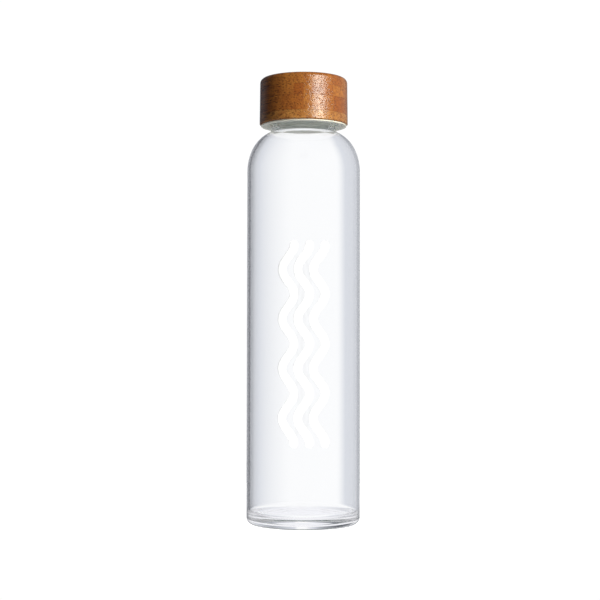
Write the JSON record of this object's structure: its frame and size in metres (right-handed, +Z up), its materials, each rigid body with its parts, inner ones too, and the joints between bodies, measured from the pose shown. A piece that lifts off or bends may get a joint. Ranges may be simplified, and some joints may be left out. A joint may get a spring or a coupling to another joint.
{
  "type": "glass water bottle",
  "caption": "Tall clear glass water bottle with a domed shoulder, short threaded neck and thick base, closed by a screw-on bamboo cap with a plastic thread insert, steel liner and seal.",
  "frame": {"origin": "centre of the bearing ring under the base, on the surface that the bottle stands on", "axes": "+Z up along the bottle's axis, and the printed side faces -Y"},
  "size_m": [0.075, 0.0751, 0.2956],
  "materials": {
    "bottle_glass": "clear, fire-polished",
    "white_enamel": "fired screen print, satin",
    "bamboo": "laminated carbonised bamboo under a clear satin lacquer",
    "cream_plastic": "moulded, fine satin",
    "liner_steel": "pressed, fine brushed",
    "seal_silicone": "translucent white silicone"
  },
  "bodies": {
    "bottle": {"glass_bottle": "bottle_glass", "printed_motif": "white_enamel"},
    "liner": {"steel_disc": "liner_steel", "seal_ring": "seal_silicone"},
    "cap": {"bamboo_cap": "bamboo", "thread_insert": "cream_plastic"}
  },
  "joints": [
    {"name": "cap_lift", "type": "slide", "parent": "bottle", "child": "liner", "axis": [0, 0, 1], "range_m": [0, 0.0253]},
    {"name": "cap_turn", "type": "hinge", "parent": "liner", "child": "cap", "pos_m": [0, 0, 0.275], "axis": [0, 0, 1], "range_deg": [0, 2160]}
  ],
  "couplings": [
    {"joint": "cap_lift", "follows": "cap_turn", "m_per_rad": 0.00066845}
  ]
}
